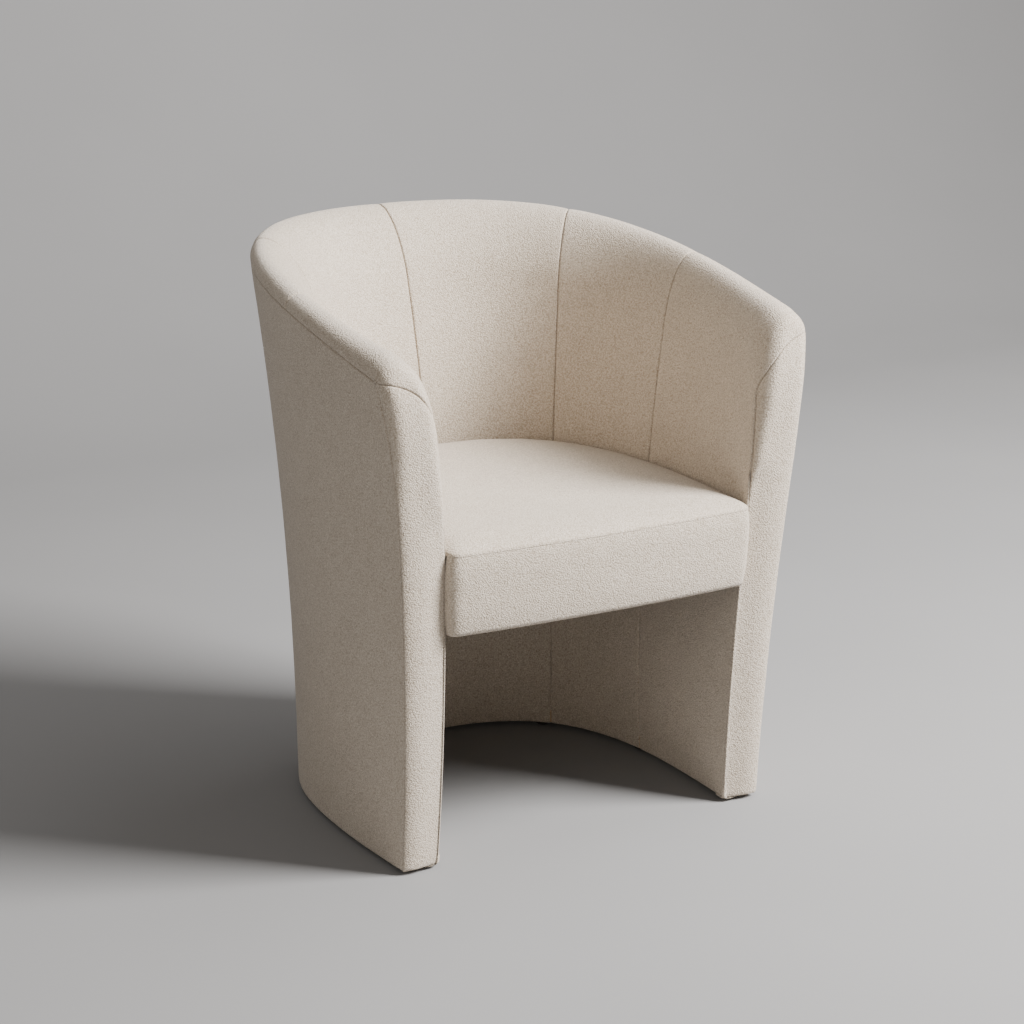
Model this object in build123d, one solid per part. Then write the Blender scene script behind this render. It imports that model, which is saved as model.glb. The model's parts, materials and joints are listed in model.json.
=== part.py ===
from build123d import *
from functools import lru_cache
import os

# Upholstered tub armchair, in millimetres. +Z is up and the sitter faces -Y.
# The shell is a U-shaped wall, drawn from the outline that its outer face makes on
# the floor. A station is a signed fraction along half of that outline: 0 is the
# middle of the back, -1 the left arm front and +1 the right arm front. An offset is
# measured outward from the outline, and a depth inward from the outer face.

# plan outlines of one half of the wall, as Bezier curves from the back to the front
OUTER_FLOOR = [(0, 0), (238, 0), (303, -90), (270, -466)]
OUTER_TOP = [(0, 115), (294, 115), (337, -160), (313, -520)]
INNER_FLOOR = [(0, -46), (251, -46), (221, -300), (217, -466)]
INNER_TOP = [(0, 36), (241, 36), (315, -292), (233, -520)]
TOP_OUTLINE_HEIGHT = 700.0
INNER_BOW = 1.731

# the top roll, from the back of the chair down to the arm fronts
BACK_SEAM = 728.0
BACK_SEAM_Y = 112.0
ARM_SEAM_DROP = 84.0
SEAM_RUN = 600.0
SEAM_STRAIGHTNESS = 0.38
ROLL_START_DROP = 68.0
ROLL_SIZE = 88.0
TIGHT_PULL = 0.55
# (at the back, added at the arm front, power of the station it grows with)
CREST_RISE = (20.0, 8.0, 8)
CREST_INSET = (17.0, 9.0, 3)
BROAD_PULL = (0.45, 0.17, 3)
INNER_PULL = (0.4, 0.12, 3)

# side profile of the arm fronts
FRONT_LEAN = 37.0
FRONT_LEAN_HEIGHT = 470.0
FRONT_BULGE = 8.0
FRONT_BULGE_HEIGHT = 580.0
FRONT_RETURN = 31.0
FRONT_TOP = 690.0

# layers of the wall, and the clearance between them
COVER = 1.5
WADDING = 4.7
BOARD = 3.0
FRAME = 20.0
RAIL = 10.0
LINING = 1.0
GAP = 0.3
FACING_PAD = 12.0
POST_DEPTH = 30.0

# heights in the wall
GLIDE_HEIGHT = 6.0
PLATE_BOTTOM = 8.0
PLATE_TOP = 26.0
MID_RAIL_BOTTOM = 310.0
MID_RAIL_TOP = 370.0
FRAME_TOP_DROP = 25.0
TOP_RAIL_HEIGHT = 30.0
UPRIGHT_HALF_WIDTH = 14.0

# seat box
SEAT_BOTTOM = 318.0
SEAT_SEAM = 424.0
SEAT_CROWN = 15.0
SEAT_SHOULDER = 9.0
SHOULDER_INSET = 20.0
CROWN_INSET = 60.0
SEAT_FRONT = 511.0
SEAT_FRONT_BOW = 8.0
SEAT_FRONT_LEAN = 0.08
SEAT_HALF_WIDTH = 217.0
SEAT_CLEARANCE = 1.0
SEAT_RAIL = 22.0
SEAT_RAIL_BOTTOM = 322.0
SEAT_RAIL_TOP = 382.0
SEAT_RAIL_INSET = 6.0
SEAT_SPLIT_Y = -200.0
BLOCK_LEG = 45.0

# springs of the seat
SPRING_XS = (-136.0, -68.0, 0.0, 68.0, 136.0)
SPRING_WIRE = 1.9
SPRING_HALF_WIDTH = 20.0
SPRING_TURN = 6.0
SPRING_Z = 386.0
SPRING_FRONT_Y = -478.0
TIE_WIRE = 1.1
TIE_WIRE_Y = -280.0
CLIP_WIDTH = 26.0
CLIP_SHEET = 1.2
CLIP_LENGTH = 9.0
FELT_BOTTOM = 390.0
FOAM_BOTTOM = 393.3

# fasteners and feet
BOLT_STATIONS = (-0.75, -0.5, 0.5, 0.75)
BOLT_Z = 350.0
BOLT_RADIUS = 4.0
BOLT_HEAD_RADIUS = 6.5
BOLT_HEAD = 5.0
BOLT_HOLE_RADIUS = 5.5
WASHER_RADIUS = 10.0
WASHER = 1.6
NUT_FLANGE_RADIUS = 9.0
NUT_FLANGE = 1.5
NUT_BARREL = 9.0
GLIDE_STATIONS = (-0.97, -0.64, -0.3, 0.3, 0.64, 0.97)
GLIDE_RADIUS = 11.0
GLIDE_INSET = 18.0
NAIL_RADIUS = 1.6
NAIL_TOP = 22.0

# the model's origin lies on the floor, midway between the foremost and rearmost points
ORIGIN_SHIFT_Y = 198.0

WADDING_DEPTH = COVER + GAP
BOARD_DEPTH = WADDING_DEPTH + WADDING + GAP
FRAME_DEPTH = BOARD_DEPTH + BOARD + GAP
INNER_BOARD_DEPTH = FRAME_DEPTH + FRAME + GAP
FOAM_DEPTH = INNER_BOARD_DEPTH + BOARD + GAP
PAD_FRONT = COVER + GAP
POST_FRONT = PAD_FRONT + FACING_PAD + GAP
RAIL_FRONT = POST_FRONT + POST_DEPTH + GAP
ON_PLATE = PLATE_TOP + GAP
BEYOND_FRONT = 1.12
ABOVE_ALL = 800.0
POST_START = 0.8
FACING_START = 0.85
WALL_SECTIONS = 49
PANEL_SECTIONS = 19
INNER_PANEL_SECTIONS = 11
SHORT_SECTIONS = 5
UPRIGHT_SECTIONS = 3
OUTLINE_POINTS = 27
RAIL_POINTS = 201
CUT_MARGIN = 1.0
SIDES = {"left": -1, "right": 1}
OUTLINES = {"outer_top": OUTER_TOP, "inner_floor": INNER_FLOOR, "inner_top": INNER_TOP}

BASE_DEPTH = -OUTER_FLOOR[-1][1]

half_outline = Bezier(*OUTER_FLOOR)


# ------------------------------------------------------------- shape of the wall


@lru_cache(maxsize=None)
def outline_at(station):
    """Point on the floor outline, and the outward direction there."""
    along = min(abs(station), 1.0)
    tangent = half_outline.tangent_at(along)
    point = half_outline.position_at(along)
    point = point + tangent * ((abs(station) - along) * half_outline.length)
    side = -1 if station < 0 else 1
    return Vector(side * point.X, point.Y), Vector(-side * tangent.Y, tangent.X)


def wall_plane(station):
    """Upright plane across the wall: local X points outward and local Y up."""
    point, outward = outline_at(station)
    return Plane(origin=point, x_dir=outward, z_dir=outward.cross(Vector(0, 0, 1)))


def bezier_point(corners, t):
    """Point of a cubic Bezier curve, which runs on straight past its far end."""
    if t > 1:
        end = Vector(*corners[3])
        return end + (end - Vector(*corners[2])) * (3 * (t - 1))
    weights = ((1 - t) ** 3, 3 * t * (1 - t) ** 2, 3 * t**2 * (1 - t), t**3)
    x = sum(weight * corner[0] for weight, corner in zip(weights, corners))
    y = sum(weight * corner[1] for weight, corner in zip(weights, corners))
    return Vector(x, y)


@lru_cache(maxsize=None)
def offset_of(outline, station):
    """Offset at which a plan outline crosses the upright plane at a station."""
    point, outward = outline_at(abs(station))
    along = Vector(outward.Y, -outward.X)
    low, high = 0.0, 2.0
    for _ in range(40):
        middle = (low + high) / 2
        if (bezier_point(OUTLINES[outline], middle) - point).dot(along) < 0:
            low = middle
        else:
            high = middle
    return (bezier_point(OUTLINES[outline], low) - point).dot(outward)


def outer_offset(station, z):
    return offset_of("outer_top", station) * (z / TOP_OUTLINE_HEIGHT) ** 2


def inner_offset(station, z):
    floor = offset_of("inner_floor", station)
    top = offset_of("inner_top", station)
    height = z / TOP_OUTLINE_HEIGHT
    return floor + (top - floor) * (height + INNER_BOW * height * (height - 1))


def seam_height(station):
    """Height of the outer seam, which falls from the back to the arm fronts."""
    point, outward = outline_at(station)
    y = point.Y + outward.Y * outer_offset(station, TOP_OUTLINE_HEIGHT)
    run = (BACK_SEAM_Y - y) / SEAM_RUN
    fall = SEAM_STRAIGHTNESS * run + (1 - SEAM_STRAIGHTNESS) * run**2
    return BACK_SEAM - ARM_SEAM_DROP * fall


def toward_arm(station, growth):
    """A measure of the roll, which is fuller at the arm fronts than at the back."""
    at_back, added, power = growth
    return at_back + added * abs(station) ** power


def roll_start(station):
    return seam_height(station) - ROLL_START_DROP


def frame_top(station):
    return seam_height(station) - FRAME_TOP_DROP


def slope(offset, station, z):
    return (offset(station, z + 1) - offset(station, z - 1)) / 2


def face_curve(offset, station, z_from, z_to, inset):
    """Control points of a wall face in section, which is a parabola."""
    start = offset(station, z_from) + inset
    middle = start + slope(offset, station, z_from) * (z_to - z_from) / 2
    end = offset(station, z_to) + inset
    return [(start, z_from), (middle, (z_from + z_to) / 2), (end, z_to)]


def roll_curves(station, skin):
    """Control points of the roll in section, skin deep, from outside to inside."""
    seam = seam_height(station)
    rise = toward_arm(station, CREST_RISE)
    crest = seam + rise
    start = roll_start(station)
    outer_x = outer_offset(station, seam) - skin
    inset = toward_arm(station, CREST_INSET)
    crest_x = outer_offset(station, seam) - inset
    inner_x = inner_offset(station, start) + skin
    outer_pull = TIGHT_PULL * rise
    inner_pull = toward_arm(station, INNER_PULL) * ROLL_SIZE
    crest_pull = toward_arm(station, BROAD_PULL) * (crest_x - inner_x)
    outer_lean = slope(outer_offset, station, seam) * outer_pull
    inner_lean = slope(inner_offset, station, start) * inner_pull
    tight = [
        (outer_x, seam),
        (outer_x + outer_lean, seam + outer_pull),
        (crest_x + TIGHT_PULL * inset, crest - skin),
        (crest_x, crest - skin),
    ]
    broad = [
        (crest_x, crest - skin),
        (crest_x - crest_pull, crest - skin),
        (inner_x + inner_lean, start + inner_pull),
        (inner_x, start),
    ]
    return tight, broad


def section(station, curves):
    """Face across the wall, round curves that follow one another, joined by lines."""
    edges = []
    for index, curve in enumerate(curves):
        edges.append(Bezier(*curve))
        after = curves[(index + 1) % len(curves)]
        if (Vector(*curve[-1]) - Vector(*after[0])).length > GAP / 100:
            edges.append(Line(curve[-1], after[0]))
    return wall_plane(station) * make_face(edges)


def band_section(station, z_from, z_to, outer_depth, inner_depth):
    """Section of a layer that follows the outer face between two depths."""
    outside = face_curve(outer_offset, station, z_from, z_to, -outer_depth)
    inside = face_curve(outer_offset, station, z_from, z_to, -inner_depth)
    return section(station, [outside, inside[::-1]])


def wall_section(station, bottom, skin):
    """The whole wall in section, skin deep under its surface."""
    tight, broad = roll_curves(station, skin)
    start = roll_start(station)
    outside = face_curve(outer_offset, station, bottom, seam_height(station), -skin)
    inside = face_curve(inner_offset, station, bottom, start, skin)
    return section(station, [outside, tight, broad, inside[::-1]])


def inner_cover_section(station):
    """Up the inner face and over the roll, as far as the outer seam."""
    start = roll_start(station)
    tight, broad = roll_curves(station, 0)
    under_tight, under_broad = roll_curves(station, COVER)
    face = face_curve(inner_offset, station, GLIDE_HEIGHT, start, 0)
    under = face_curve(inner_offset, station, GLIDE_HEIGHT, start, COVER)
    return section(
        station,
        [tight, broad, face[::-1], under, under_broad[::-1], under_tight[::-1]],
    )


def foam_section(station):
    """Foam of the inner face, which carries on over the frame under the roll."""
    tight, broad = roll_curves(station, PAD_FRONT)
    start = roll_start(station)
    ledge = frame_top(station) + GAP
    face = face_curve(inner_offset, station, ON_PLATE, start, PAD_FRONT)
    back = face_curve(outer_offset, station, ON_PLATE, ledge, -FOAM_DEPTH)
    outside = face_curve(outer_offset, station, ledge, seam_height(station), -PAD_FRONT)
    return section(station, [tight, broad, face[::-1], back, outside])


def base_section(station, z_from, z_to, outer_depth, skin):
    """A flat layer under the wall, from near its outer face to its inner face."""
    outside = face_curve(outer_offset, station, z_from, z_to, -outer_depth)
    inside = face_curve(inner_offset, station, z_from, z_to, skin)
    return section(station, [outside, inside[::-1]])


def spread(first, last, count):
    return [first + (last - first) * step / (count - 1) for step in range(count)]


def loft_wall(section_at, first=-BEYOND_FRONT, last=BEYOND_FRONT, count=WALL_SECTIONS):
    """Solid that follows the wall from one station to another."""
    return loft([section_at(station) for station in spread(first, last, count)])


def front_profile(back_by):
    """Side profile of the arm fronts, moved back, as edges in the YZ plane."""
    foot = -BASE_DEPTH + back_by
    knee = foot - FRONT_LEAN
    toe = foot + FRONT_LEAN / FRONT_LEAN_HEIGHT * PLATE_TOP
    below = Line((toe, -PLATE_TOP), (knee, FRONT_LEAN_HEIGHT))
    above = Bezier(
        (knee, FRONT_LEAN_HEIGHT),
        (knee - FRONT_BULGE, FRONT_BULGE_HEIGHT),
        (knee + FRONT_RETURN, FRONT_TOP),
    )
    return [below, above]


def behind_front(back_by):
    """Everything behind the arm fronts' surface, moved back by a given distance."""
    edges = front_profile(back_by)
    low = edges[0] @ 0
    high = edges[1] @ 1
    far = ABOVE_ALL
    top = Vector(high.X + FRONT_RETURN, 2 * FRONT_TOP - FRONT_BULGE_HEIGHT)
    edges += [Line(high, top), Line(top, (far, top.Y)), Line((far, top.Y), (far, low.Y))]
    edges += [Line((far, low.Y), low)]
    return extrude(Plane.YZ * make_face(edges), amount=ABOVE_ALL, both=True)


def front_slice(solid, front, back):
    """The part of a solid that lies between two distances behind the arm fronts."""
    return (solid & behind_front(front)) - behind_front(back)


def bore(station, z, offset_from, offset_to, radius):
    """Cylinder square to the wall, between two offsets."""
    point, outward = outline_at(station)
    middle = (offset_from + offset_to) / 2
    plane = Plane(origin=point + outward * middle + Vector(0, 0, z), z_dir=outward)
    return plane * Cylinder(radius, abs(offset_to - offset_from))


# ------------------------------------------------------------- shape of the seat


def seat_outline(z, inset):
    """D-shaped level face inside the wall, running on past the seat's front."""
    points = []
    for station in spread(-BEYOND_FRONT, BEYOND_FRONT, OUTLINE_POINTS):
        point, outward = outline_at(station)
        reach = inner_offset(station, z) - SEAT_CLEARANCE - inset
        points.append(point + outward * reach + Vector(0, 0, z))
    return make_face([Spline(*points), Line(points[-1], points[0])])


def seat_room_at(z, inset):
    """Level face behind the seat's bowed front."""
    front = -SEAT_FRONT + inset + SEAT_FRONT_LEAN * (SEAT_SEAM - z)
    half = SEAT_HALF_WIDTH
    wide = 2 * half
    radius = (half**2 + SEAT_FRONT_BOW**2) / (2 * SEAT_FRONT_BOW)
    bow = ThreePointArc((-half, front, z), (0, front - SEAT_FRONT_BOW, z), (half, front, z))
    bow_slope = half / (radius - SEAT_FRONT_BOW)
    side = front + (wide - half) * bow_slope
    corners = [(half, front, z), (wide, side, z), (wide, half, z), (-wide, half, z)]
    corners += [(-wide, side, z), (-half, front, z)]
    return make_face([bow, Polyline(*corners)])


def seat_room(inset):
    """Everything behind the seat's front surface, moved back by the inset."""
    low = seat_room_at(SEAT_BOTTOM - GLIDE_HEIGHT, inset)
    high = seat_room_at(SEAT_SEAM + 2 * SEAT_CROWN, inset)
    return loft([low, high], ruled=True)


def seat_stack(levels, front_inset):
    """Solid through D-shaped levels, each a height and an inset from the wall."""
    solid = loft([seat_outline(z, inset) for z, inset in levels], ruled=True)
    return solid & seat_room(front_inset)


def seat_slab(z_from, z_to, inset, front_inset):
    return seat_stack([(z_from, inset), (z_to, inset)], front_inset)


def seat_dome(drop, inset):
    """Levels of the crowned top of the seat, lowered and drawn in."""
    return [
        (SEAT_SEAM + GAP - drop, inset),
        (SEAT_SEAM + SEAT_SHOULDER - drop, inset + SHOULDER_INSET),
        (SEAT_SEAM + SEAT_CROWN - drop, inset + CROWN_INSET),
    ]


# --------------------------------------------------------------- wooden frame


def make_base_plate():
    flat = loft_wall(
        lambda s: base_section(s, PLATE_BOTTOM, PLATE_TOP, BOARD_DEPTH, PAD_FRONT + GAP)
    )
    plate = flat & behind_front(POST_FRONT)
    for nail in glide_nail_solids(GAP):
        plate -= nail
    return plate


def make_front_post(side):
    band = loft_wall(
        lambda s: band_section(s, ON_PLATE, frame_top(s), FRAME_DEPTH, FRAME_DEPTH + FRAME),
        side * POST_START,
        side * BEYOND_FRONT,
        SHORT_SECTIONS,
    )
    return front_slice(band, POST_FRONT, POST_FRONT + POST_DEPTH)


def make_mid_rail():
    band = loft_wall(
        lambda s: band_section(
            s, MID_RAIL_BOTTOM, MID_RAIL_TOP, FRAME_DEPTH, FRAME_DEPTH + RAIL
        )
    )
    rail = band & behind_front(RAIL_FRONT)
    for station in BOLT_STATIONS:
        rail -= nut_pocket(station)
    return rail


def make_top_rail():
    band = loft_wall(
        lambda s: band_section(
            s,
            frame_top(s) - TOP_RAIL_HEIGHT,
            frame_top(s),
            FRAME_DEPTH,
            FRAME_DEPTH + FRAME,
        )
    )
    return band & behind_front(RAIL_FRONT)


def make_upright(station):
    """Upright on the base plate, let in at the back for the middle rail."""
    half = UPRIGHT_HALF_WIDTH / half_outline.length
    upright = loft_wall(
        lambda s: band_section(
            s, ON_PLATE, upright_top(s), FRAME_DEPTH, FRAME_DEPTH + FRAME
        ),
        station - half,
        station + half,
        UPRIGHT_SECTIONS,
    )
    housing = loft_wall(
        lambda s: band_section(
            s, MID_RAIL_BOTTOM - GAP, MID_RAIL_TOP + GAP, 0, FRAME_DEPTH + RAIL + GAP
        ),
        station - 2 * half,
        station + 2 * half,
        SHORT_SECTIONS,
    )
    upright -= housing
    if station in BOLT_STATIONS:
        upright -= bolt_hole(station)
    return upright


def upright_top(station):
    return frame_top(station) - TOP_RAIL_HEIGHT - GAP


# ------------------------------------------------------- boards and padding


def make_board(depth):
    band = loft_wall(
        lambda s: band_section(s, ON_PLATE, frame_top(s), depth, depth + BOARD)
    )
    return band & behind_front(POST_FRONT)


def make_inner_board():
    board = make_board(INNER_BOARD_DEPTH)
    for station in BOLT_STATIONS:
        board -= bolt_hole(station)
    return board


def make_outer_wadding():
    band = loft_wall(
        lambda s: band_section(
            s, PLATE_BOTTOM, frame_top(s), WADDING_DEPTH, WADDING_DEPTH + WADDING
        )
    )
    return band & behind_front(POST_FRONT)


def make_shell_foam():
    foam = loft_wall(foam_section) & behind_front(POST_FRONT)
    for station in BOLT_STATIONS:
        foam -= bolt_hole(station)
    return foam


def make_facing_pad(side):
    block = loft_wall(
        lambda s: wall_section(s, PLATE_BOTTOM, PAD_FRONT), side * FACING_START, side * BEYOND_FRONT, SHORT_SECTIONS
    )
    return front_slice(block, PAD_FRONT, PAD_FRONT + FACING_PAD)


# ------------------------------------------------------------------- covers


def make_facing_cover(side):
    block = loft_wall(
        lambda s: wall_section(s, GLIDE_HEIGHT, 0), side * FACING_START, side * BEYOND_FRONT, SHORT_SECTIONS
    )
    return front_slice(block, 0, COVER)


def make_inner_panel(first, last):
    panel = loft_wall(inner_cover_section, first, last, INNER_PANEL_SECTIONS)
    if max(abs(first), abs(last)) > 1:
        panel = panel & behind_front(PAD_FRONT)
    for station in BOLT_STATIONS:
        if first < station < last:
            panel -= bolt_hole(station)
    return panel


def make_outer_panel(first, last):
    panel = loft_wall(
        lambda s: band_section(s, GLIDE_HEIGHT, seam_height(s) - GAP, 0, COVER),
        first,
        last,
        PANEL_SECTIONS,
    )
    if max(abs(first), abs(last)) > 1:
        panel = panel & behind_front(PAD_FRONT)
    return panel


def make_base_lining():
    bottom = GLIDE_HEIGHT + GAP
    flat = loft_wall(
        lambda s: base_section(s, bottom, bottom + LINING, WADDING_DEPTH, PAD_FRONT)
    )
    lining = flat & behind_front(PAD_FRONT)
    for nail in glide_nail_solids(GAP):
        lining -= nail
    return lining


# ----------------------------------------------------------------- seat box


def seat_rail_ring():
    rail_front = PAD_FRONT + FACING_PAD + GAP
    inside = SEAT_RAIL_INSET + SEAT_RAIL
    ring = seat_slab(SEAT_RAIL_BOTTOM, SEAT_RAIL_TOP, SEAT_RAIL_INSET, rail_front)
    return ring - seat_core(inside, rail_front + SEAT_RAIL)


def seat_core(inset, front_inset):
    return seat_slab(SEAT_RAIL_BOTTOM - CUT_MARGIN, SEAT_RAIL_TOP + CUT_MARGIN, inset, front_inset)


def make_seat_front_rail():
    return seat_rail_ring() - seat_room(PAD_FRONT + FACING_PAD + GAP + SEAT_RAIL)


def region(x_from, x_to, y_from, y_to):
    """Upright block between two x and two y values, as tall as the chair."""
    middle = ((x_from + x_to) / 2, (y_from + y_to) / 2, ABOVE_ALL / 2)
    return Pos(*middle) * Box(x_to - x_from, y_to - y_from, ABOVE_ALL)


def make_seat_side_rail(side):
    rail = seat_rail_ring() & seat_room(PAD_FRONT + FACING_PAD + SEAT_RAIL + 2 * GAP)
    near, far = sorted((0, side * BASE_DEPTH))
    rail = rail & region(near, far, -2 * BASE_DEPTH, SEAT_SPLIT_Y - GAP)
    for station in BOLT_STATIONS:
        if station * side > 0:
            rail -= bolt_hole(station)
    return rail


def make_seat_rear_rail():
    rail = seat_rail_ring() & region(-BASE_DEPTH, BASE_DEPTH, SEAT_SPLIT_Y, BASE_DEPTH)
    for station in BOLT_STATIONS:
        rail -= bolt_hole(station)
    return rail


def make_corner_blocks():
    """Two triangular blocks glued into the front corners of the seat frame."""
    inset = SEAT_RAIL_INSET + SEAT_RAIL + GAP
    core = seat_core(inset, PAD_FRONT + FACING_PAD + SEAT_RAIL + 3 * GAP)
    corner_x = SEAT_HALF_WIDTH - SEAT_RAIL_INSET
    corner_y = -SEAT_FRONT + PAD_FRONT + FACING_PAD
    reach = SEAT_RAIL + SEAT_RAIL + BLOCK_LEG
    blocks = []
    for side in SIDES.values():
        corner = (side * corner_x, corner_y)
        along_x = (side * (corner_x - reach), corner_y)
        along_y = (side * corner_x, corner_y + reach)
        wedge = make_face(Polyline(corner, along_x, along_y, corner))
        height = SEAT_RAIL_TOP - SEAT_RAIL_BOTTOM
        prism = extrude(Pos(0, 0, SEAT_RAIL_BOTTOM) * wedge, amount=height)
        blocks.append(core & prism)
    return Compound(children=solids_of(*blocks))


def solids_of(*shapes):
    return [solid for shape in shapes for solid in shape.solids()]


def rear_rail_y(x):
    """Middle of the seat's rear rail at a given distance from the centre line."""
    middle = SEAT_RAIL_INSET + SEAT_RAIL / 2
    best = min(
        spread(0, 1, RAIL_POINTS),
        key=lambda s: abs(inner_point(s, SEAT_RAIL_TOP, middle).X - abs(x)),
    )
    return inner_point(best, SEAT_RAIL_TOP, middle).Y


def inner_point(station, z, inset):
    point, outward = outline_at(station)
    return point + outward * (inner_offset(station, z) - SEAT_CLEARANCE - inset)


def make_springs():
    """Serpentine wire springs from the front rail to the rear rail."""
    springs = []
    for x in SPRING_XS:
        legs = int((rear_rail_y(x) - SPRING_FRONT_Y) / (2 * SPRING_TURN))
        reach = SPRING_HALF_WIDTH - SPRING_TURN
        edges = []
        for leg in range(legs):
            y = SPRING_FRONT_Y + 2 * SPRING_TURN * leg
            side = 1 if leg % 2 else -1
            edges.append(Line((x - side * reach, y, SPRING_Z), (x + side * reach, y, SPRING_Z)))
            if leg < legs - 1:
                start = (x + side * reach, y, SPRING_Z)
                peak = (x + side * SPRING_HALF_WIDTH, y + SPRING_TURN, SPRING_Z)
                end = (x + side * reach, y + 2 * SPRING_TURN, SPRING_Z)
                edges.append(ThreePointArc(start, peak, end))
        path = Wire(edges)
        round_wire = Plane(origin=path @ 0, z_dir=path % 0) * Circle(SPRING_WIRE)
        springs.append(sweep(round_wire, path=path))
    return Compound(children=solids_of(*springs))


def spring_ends():
    """Middle of each end leg of each spring."""
    ends = []
    for x in SPRING_XS:
        legs = int((rear_rail_y(x) - SPRING_FRONT_Y) / (2 * SPRING_TURN))
        ends.append((x, SPRING_FRONT_Y))
        ends.append((x, SPRING_FRONT_Y + 2 * SPRING_TURN * (legs - 1)))
    return ends


def make_spring_clips():
    """Folded steel clips that hold the end legs of the springs to the rails."""
    low = SEAT_RAIL_TOP + GAP / 2
    high = FELT_BOTTOM - GAP / 2
    middle = (low + high) / 2
    clips = []
    for x, y in spring_ends():
        body = Pos(x, y, middle) * Box(CLIP_WIDTH - 2 * SPRING_TURN, CLIP_LENGTH, high - low)
        mouth = Box(CLIP_WIDTH, CLIP_LENGTH, high - low - 2 * CLIP_SHEET)
        clips.append(body - Pos(x, y + CLIP_SHEET, middle) * mouth)
    return Compound(children=solids_of(*clips))


def make_tie_wire():
    """Straight wire across the middle of the springs, under them."""
    half = SEAT_HALF_WIDTH - SEAT_RAIL_INSET - SEAT_RAIL - BOLT_HEAD
    z = SPRING_Z - SPRING_WIRE - TIE_WIRE - GAP
    return Pos(0, TIE_WIRE_Y, z) * Rot(0, 90, 0) * Cylinder(TIE_WIRE, 2 * half)


def make_seat_felt():
    inset = PAD_FRONT + GAP
    return seat_slab(FELT_BOTTOM, FOAM_BOTTOM - GAP, inset, inset)


def make_seat_foam():
    levels = [(FOAM_BOTTOM, PAD_FRONT)] + seat_dome(PAD_FRONT + GAP, PAD_FRONT)
    return seat_stack(levels, PAD_FRONT)


def make_seat_front_pad():
    pad = seat_slab(SEAT_BOTTOM + 2 * LINING, FELT_BOTTOM - GAP, PAD_FRONT, PAD_FRONT)
    return pad - seat_room(PAD_FRONT + FACING_PAD)


def make_seat_top_cover():
    over = seat_stack(seat_dome(0, 0), 0)
    return over - seat_stack(seat_dome(COVER, 0), 0)


def make_seat_front_band():
    return seat_slab(SEAT_BOTTOM, SEAT_SEAM, 0, 0) - seat_room(COVER)


def make_seat_border():
    """Hidden strip of cover round the sides and back of the seat."""
    strip = seat_slab(SEAT_BOTTOM, SEAT_SEAM, 0, COVER + GAP)
    strip -= seat_slab(SEAT_BOTTOM - 1, SEAT_SEAM + 1, COVER, 0)
    for station in BOLT_STATIONS:
        strip -= bolt_hole(station)
    return strip


def make_seat_dust_cover():
    return seat_slab(SEAT_BOTTOM, SEAT_BOTTOM + LINING, PAD_FRONT, PAD_FRONT)


# -------------------------------------------------------- fasteners and feet


def rail_face(station):
    """Offset of the inner face of the seat's side rail at bolt height."""
    inside = SEAT_CLEARANCE + SEAT_RAIL_INSET + SEAT_RAIL
    return inner_offset(station, BOLT_Z) - inside


def frame_face(station):
    return outer_offset(station, BOLT_Z) - FRAME_DEPTH


def bolt_hole(station):
    return bore(station, BOLT_Z, rail_face(station) - RAIL, frame_face(station), BOLT_HOLE_RADIUS)


def nut_pocket(station):
    face = frame_face(station)
    flange = bore(
        station, BOLT_Z, face - NUT_FLANGE - 2 * GAP, face + RAIL, NUT_FLANGE_RADIUS + GAP
    )
    return flange + bolt_hole(station)


def make_bolts():
    bolts = []
    for station in BOLT_STATIONS:
        head_face = rail_face(station) - WASHER - 2 * GAP
        shank = bore(station, BOLT_Z, head_face, frame_face(station) - NUT_FLANGE, BOLT_RADIUS)
        head = bore(station, BOLT_Z, head_face - BOLT_HEAD, head_face, BOLT_HEAD_RADIUS)
        bolts.append(shank + head)
    return Compound(children=solids_of(*bolts))


def make_washers():
    washers = []
    for station in BOLT_STATIONS:
        face = rail_face(station) - GAP
        disc = bore(station, BOLT_Z, face - WASHER, face, WASHER_RADIUS)
        washers.append(disc - bore(station, BOLT_Z, face - RAIL, face + RAIL, BOLT_RADIUS + GAP))
    return Compound(children=solids_of(*washers))


def make_tee_nuts():
    nuts = []
    for station in BOLT_STATIONS:
        face = frame_face(station) - GAP
        flange = bore(station, BOLT_Z, face - NUT_FLANGE, face, NUT_FLANGE_RADIUS)
        barrel = bore(station, BOLT_Z, face - NUT_BARREL, face, BOLT_HOLE_RADIUS - GAP)
        thread = bore(station, BOLT_Z, face - RAIL - RAIL, face + RAIL, BOLT_RADIUS + GAP / 3)
        nuts.append((flange + barrel) - thread)
    return Compound(children=solids_of(*nuts))


def glide_spots():
    for station in GLIDE_STATIONS:
        point, outward = outline_at(station)
        yield point + outward * (inner_offset(station, 0) + GLIDE_INSET)


def make_glides():
    glides = []
    for spot in glide_spots():
        disc = Pos(spot.X, spot.Y, GLIDE_HEIGHT / 2) * Cylinder(GLIDE_RADIUS, GLIDE_HEIGHT)
        glides.append(chamfer(disc.edges().group_by(Axis.Z)[0], COVER))
    return Compound(children=solids_of(*glides))


def glide_nail_solids(grow):
    length = NAIL_TOP - GLIDE_HEIGHT + grow
    for spot in glide_spots():
        yield Pos(spot.X, spot.Y, GLIDE_HEIGHT + length / 2) * Cylinder(NAIL_RADIUS + grow, length)


def make_glide_nails():
    return Compound(children=solids_of(*glide_nail_solids(0)))


# ------------------------------------------------------------------ assembly

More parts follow.
